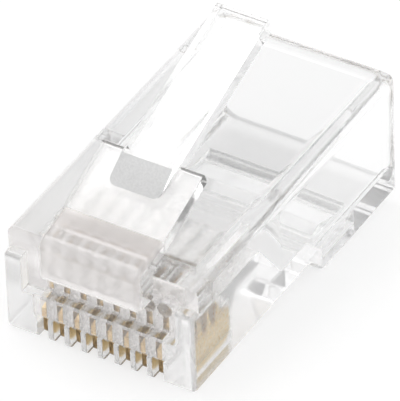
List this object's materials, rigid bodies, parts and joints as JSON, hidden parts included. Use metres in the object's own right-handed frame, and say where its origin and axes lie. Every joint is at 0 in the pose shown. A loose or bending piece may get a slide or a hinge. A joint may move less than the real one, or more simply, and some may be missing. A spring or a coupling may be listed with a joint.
{
  "type": "modular plug",
  "caption": "Clear modular network plug with a sprung locking latch, gold contact blades, a crimp bar and an open cable entry.",
  "frame": {"origin": "middle of the nose's front face, on the contact side", "axes": "+X across the plug, +Y from the nose to the cable entry, +Z from the contact side to the latch side"},
  "size_m": [0.0116, 0.0224, 0.0142],
  "materials": {
    "clear_plastic": "clear gloss polycarbonate",
    "gold_plate": "polished gold plate"
  },
  "bodies": {
    "housing": {"housing": "clear_plastic"},
    "latch": {"latch": "clear_plastic"},
    "crimp_bar": {"crimp_bar": "clear_plastic"},
    "contact_1": {"contact_1": "gold_plate"},
    "contact_2": {"contact_2": "gold_plate"},
    "contact_3": {"contact_3": "gold_plate"},
    "contact_4": {"contact_4": "gold_plate"},
    "contact_5": {"contact_5": "gold_plate"},
    "contact_6": {"contact_6": "gold_plate"},
    "contact_7": {"contact_7": "gold_plate"},
    "contact_8": {"contact_8": "gold_plate"}
  },
  "joints": [
    {"name": "latch_flex", "type": "hinge", "parent": "housing", "child": "latch", "pos_m": [0, 0.0019, 0.00715], "axis": [-1, 0, 0], "range_deg": [0, 20], "stiffness_Nm_per_rad": 0.2},
    {"name": "crimp_bar_hinge", "type": "hinge", "parent": "housing", "child": "crimp_bar", "pos_m": [0, 0.0179, -0.00055], "axis": [-1, 0, 0], "range_deg": [0, 20]},
    {"name": "contact_1_travel", "type": "slide", "parent": "housing", "child": "contact_1", "axis": [0, 0, 1], "range_m": [0, 0.00055]},
    {"name": "contact_2_travel", "type": "slide", "parent": "housing", "child": "contact_2", "axis": [0, 0, 1], "range_m": [0, 0.00055]},
    {"name": "contact_3_travel", "type": "slide", "parent": "housing", "child": "contact_3", "axis": [0, 0, 1], "range_m": [0, 0.00055]},
    {"name": "contact_4_travel", "type": "slide", "parent": "housing", "child": "contact_4", "axis": [0, 0, 1], "range_m": [0, 0.00055]},
    {"name": "contact_5_travel", "type": "slide", "parent": "housing", "child": "contact_5", "axis": [0, 0, 1], "range_m": [0, 0.00055]},
    {"name": "contact_6_travel", "type": "slide", "parent": "housing", "child": "contact_6", "axis": [0, 0, 1], "range_m": [0, 0.00055]},
    {"name": "contact_7_travel", "type": "slide", "parent": "housing", "child": "contact_7", "axis": [0, 0, 1], "range_m": [0, 0.00055]},
    {"name": "contact_8_travel", "type": "slide", "parent": "housing", "child": "contact_8", "axis": [0, 0, 1], "range_m": [0, 0.00055]}
  ],
  "couplings": [
    {"joint": "contact_2_travel", "follows": "contact_1_travel", "ratio": 1},
    {"joint": "contact_3_travel", "follows": "contact_1_travel", "ratio": 1},
    {"joint": "contact_4_travel", "follows": "contact_1_travel", "ratio": 1},
    {"joint": "contact_5_travel", "follows": "contact_1_travel", "ratio": 1},
    {"joint": "contact_6_travel", "follows": "contact_1_travel", "ratio": 1},
    {"joint": "contact_7_travel", "follows": "contact_1_travel", "ratio": 1},
    {"joint": "contact_8_travel", "follows": "contact_1_travel", "ratio": 1}
  ]
}
